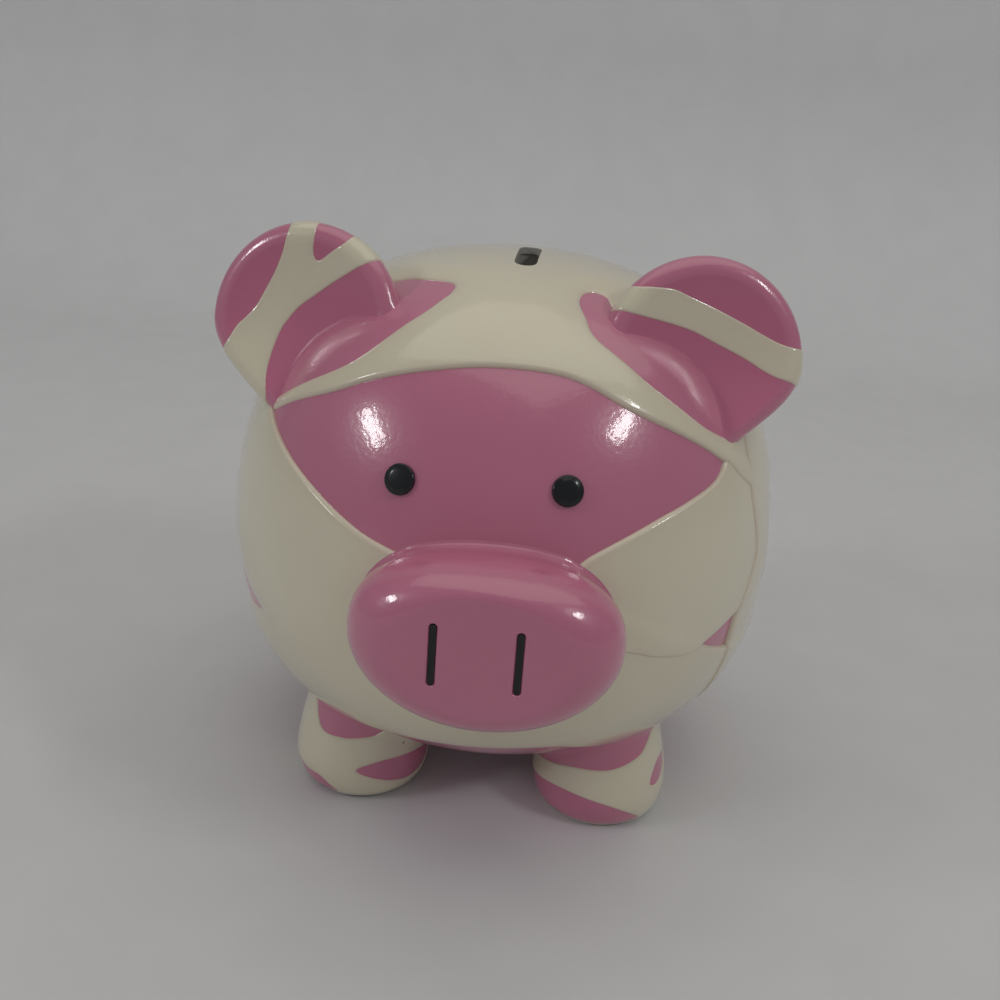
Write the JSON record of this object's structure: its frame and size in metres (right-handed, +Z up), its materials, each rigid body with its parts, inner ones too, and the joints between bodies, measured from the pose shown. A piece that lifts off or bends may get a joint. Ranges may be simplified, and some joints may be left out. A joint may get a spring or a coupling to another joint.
{
  "type": "piggy bank",
  "caption": "Round glazed ceramic pig money bank wrapped in raised cream bandages over pink skin, with a coin slot in the crown, stubby feet and a pull-out stopper in the belly.",
  "frame": {"origin": "on the table under the middle of the bank's bounding box", "axes": "+Z up; the pig looks along -Y; +X is the pig's own left"},
  "size_m": [0.1708, 0.2072, 0.17],
  "materials": {
    "pink_glaze": "gloss clear glaze over pink underglaze",
    "cream_glaze": "gloss cream glaze",
    "black_glaze": "gloss black glaze",
    "stopper_rubber": "satin, translucent grey"
  },
  "bodies": {
    "bank": {"body_shell": "pink_glaze", "snout": "pink_glaze", "ear_left": "pink_glaze", "eye_left": "black_glaze", "foot_front_left": "pink_glaze", "foot_rear_left": "pink_glaze", "ear_right": "pink_glaze", "eye_right": "black_glaze", "foot_front_right": "pink_glaze", "foot_rear_right": "pink_glaze", "tail": "pink_glaze", "side_wrap_left": "cream_glaze", "crown_wrap": "cream_glaze", "cheek_wrap_left": "cream_glaze", "jaw_wrap": "cream_glaze", "rump_wrap": "cream_glaze", "side_wrap_right": "cream_glaze", "back_wrap_upper": "cream_glaze", "back_wrap_lower": "cream_glaze"},
    "stopper": {"stopper": "stopper_rubber"}
  },
  "joints": [
    {"name": "stopper_pull", "type": "slide", "parent": "bank", "child": "stopper", "axis": [0, 0, -1], "range_m": [0, 0.04]}
  ]
}
